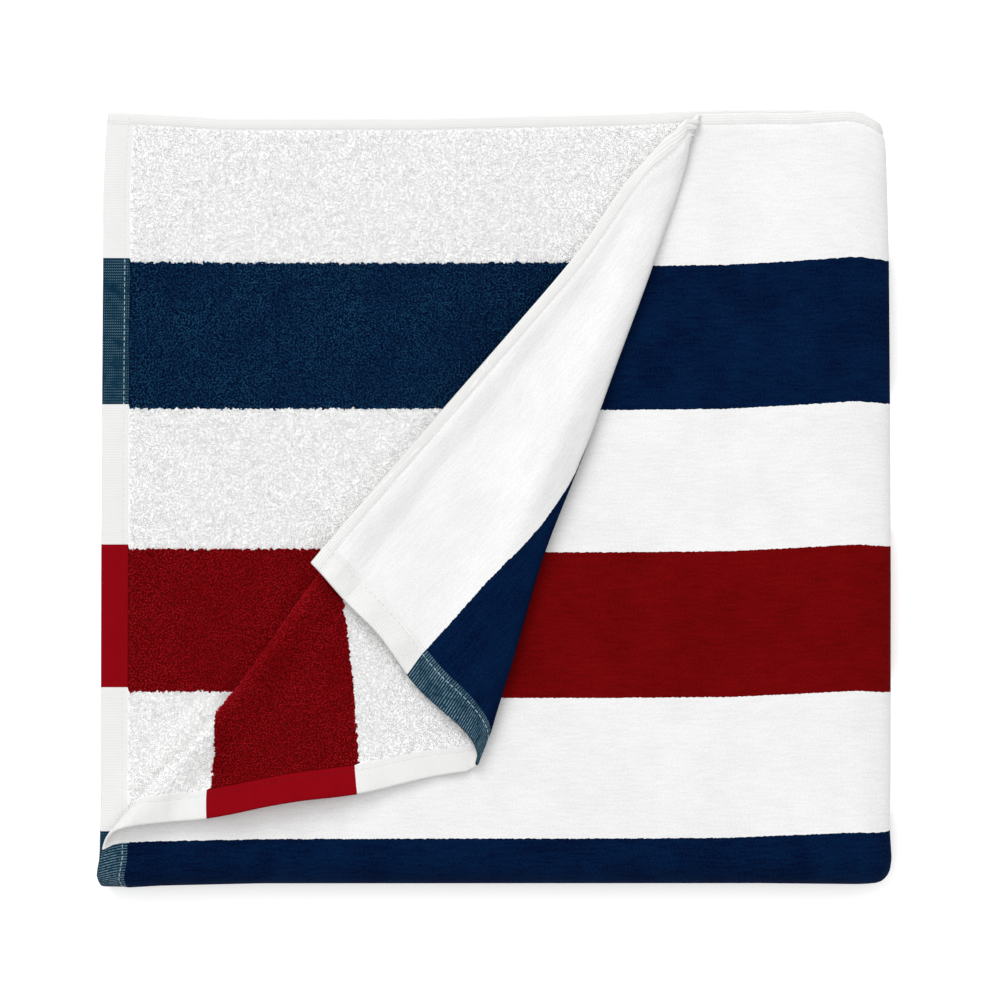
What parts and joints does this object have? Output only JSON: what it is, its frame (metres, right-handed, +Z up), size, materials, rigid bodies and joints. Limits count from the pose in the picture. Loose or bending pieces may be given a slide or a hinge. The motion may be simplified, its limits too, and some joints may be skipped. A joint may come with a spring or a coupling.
{
  "type": "folded beach towel",
  "caption": "Cabana-striped velour beach towel folded into a flat square, with the free top corner turned over and back to show its looped side.",
  "frame": {"origin": "on the surface the folded towel lies on, under the middle of its bounding box", "axes": "+Z up through the stack, +X along the stripes from the hemmed edge to the folded edge, +Y from the lengthwise fold to the selvedges"},
  "size_m": [0.386, 0.3766, 0.043],
  "materials": {
    "cotton": "white, navy and red striped velour, looped on the back"
  },
  "bodies": {
    "root": {"towel_cloth": "cotton"}
  },
  "joints": []
}
